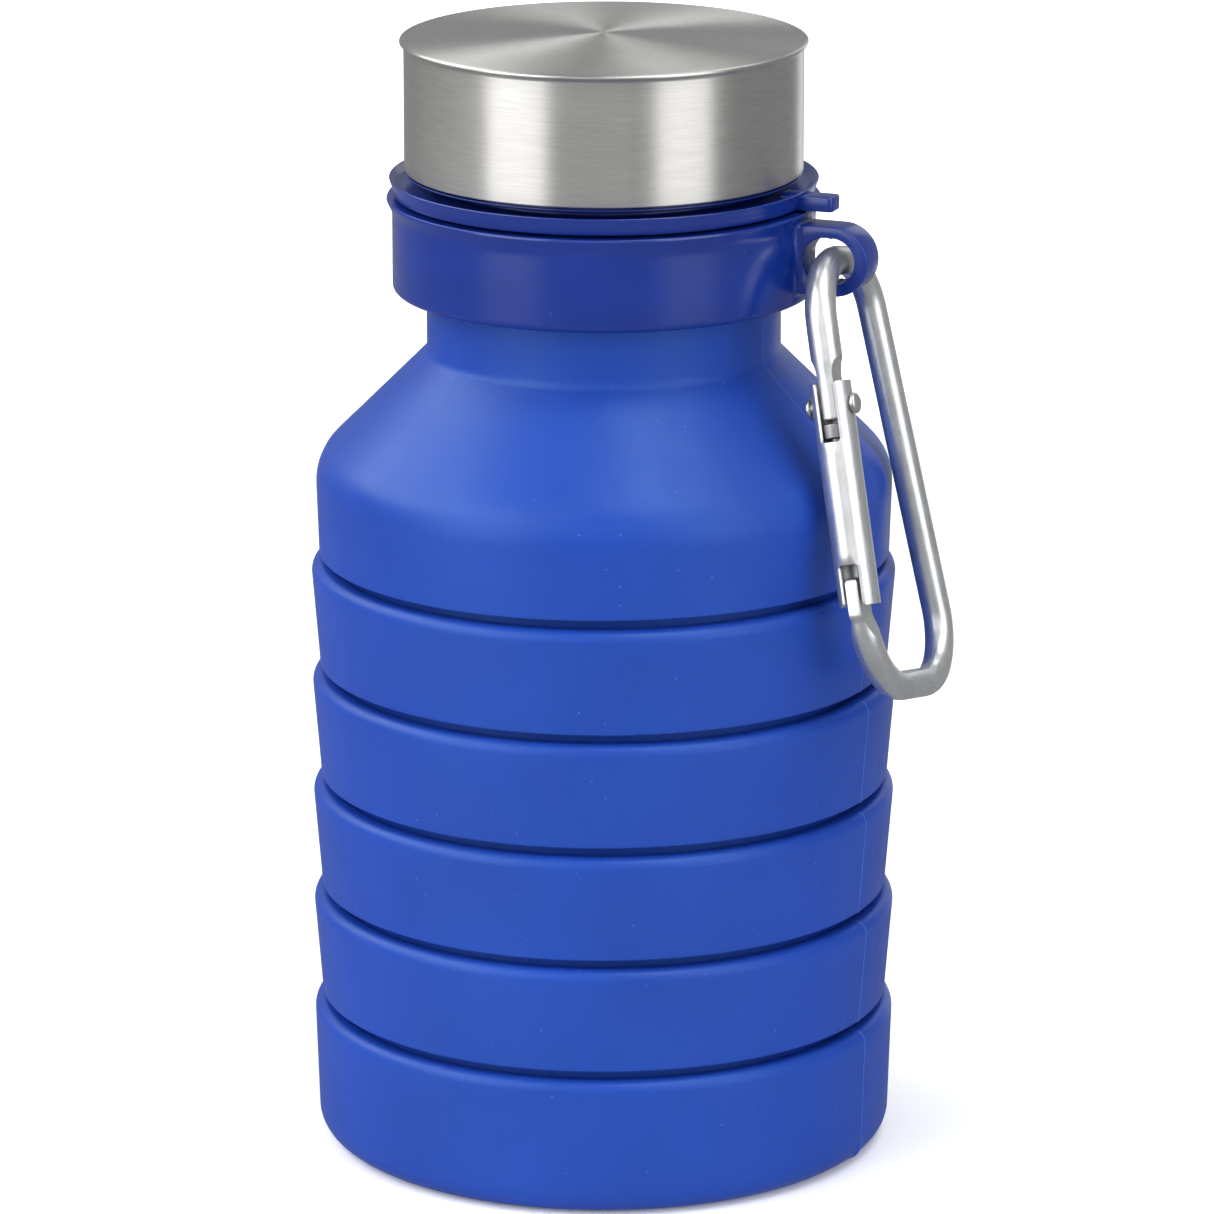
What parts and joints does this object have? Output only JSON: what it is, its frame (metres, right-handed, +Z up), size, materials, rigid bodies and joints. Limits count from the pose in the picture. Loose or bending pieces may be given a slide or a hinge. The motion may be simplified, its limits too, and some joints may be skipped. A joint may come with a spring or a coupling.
{
  "type": "folding water bottle",
  "caption": "Collapsible silicone water bottle with accordion folds, a screw-on steel-clad cap and a snap hook hanging from a loop on its collar.",
  "frame": {"origin": "middle of the flat base, on the surface the bottle stands on", "axes": "+Z up along the bottle's axis; +X from the axis to the loop that holds the snap hook"},
  "size_m": [0.0946, 0.0852, 0.1637],
  "materials": {
    "silicone": "satin moulded silicone with a fine matte grain",
    "neck_plastic": "glossy moulded polypropylene",
    "collar_plastic": "glossy moulded polypropylene",
    "gasket_silicone": "soft milky silicone seal",
    "cap_steel": "spun and brushed stainless steel",
    "cap_plastic": "glossy moulded polypropylene",
    "hook_aluminium": "bright drawn aluminium",
    "rivet_steel": "plain steel rivet",
    "spring_steel": "plain spring steel"
  },
  "bodies": {
    "base": {"base_cup": "silicone", "fold_ring_1": "silicone"},
    "ring_2": {"fold_ring_2": "silicone"},
    "ring_3": {"fold_ring_3": "silicone"},
    "ring_4": {"fold_ring_4": "silicone"},
    "shoulder": {"shoulder_neck": "silicone", "neck_insert": "neck_plastic", "collar": "collar_plastic"},
    "cap_seal": {"cap_gasket": "gasket_silicone"},
    "cap": {"cap_shell": "cap_steel", "cap_liner": "cap_plastic"},
    "hook": {"hook_frame": "hook_aluminium", "gate_rivet": "rivet_steel"},
    "gate": {"hook_gate": "hook_aluminium", "gate_spring": "spring_steel", "gate_plunger": "spring_steel"}
  },
  "joints": [
    {"name": "fold_1", "type": "slide", "parent": "base", "child": "ring_2", "axis": [0, 0, 1], "range_m": [-0.013, 0], "deforming": ["fold_ring_1"]},
    {"name": "fold_2", "type": "slide", "parent": "ring_2", "child": "ring_3", "axis": [0, 0, 1], "range_m": [-0.013, 0], "deforming": ["fold_ring_2"]},
    {"name": "fold_3", "type": "slide", "parent": "ring_3", "child": "ring_4", "axis": [0, 0, 1], "range_m": [-0.013, 0], "deforming": ["fold_ring_3"]},
    {"name": "fold_4", "type": "slide", "parent": "ring_4", "child": "shoulder", "axis": [0, 0, 1], "range_m": [-0.013, 0], "deforming": ["fold_ring_4"]},
    {"name": "cap_lift", "type": "slide", "parent": "shoulder", "child": "cap_seal", "axis": [0, 0, 1], "range_m": [0, 0.0161]},
    {"name": "cap_turn", "type": "hinge", "parent": "cap_seal", "child": "cap", "pos_m": [0, 0, 0.1537], "axis": [0, 0, 1], "range_deg": [0, 720]},
    {"name": "hook_swing", "type": "hinge", "parent": "shoulder", "child": "hook", "pos_m": [0.03585, 0, 0.1343], "axis": [0, -1, 0], "range_deg": [0, 100]},
    {"name": "gate_open", "type": "hinge", "parent": "hook", "child": "gate", "pos_m": [0.0399, -0.01236, 0.11591], "axis": [0.9736, 0, 0.2284], "range_deg": [0, 17], "stiffness_Nm_per_rad": 0.02, "springref_deg": -20.05}
  ],
  "couplings": [
    {"joint": "fold_2", "follows": "fold_1", "ratio": 1},
    {"joint": "fold_3", "follows": "fold_1", "ratio": 1},
    {"joint": "fold_4", "follows": "fold_1", "ratio": 1},
    {"joint": "cap_lift", "follows": "cap_turn", "m_per_rad": 0.0012732}
  ]
}
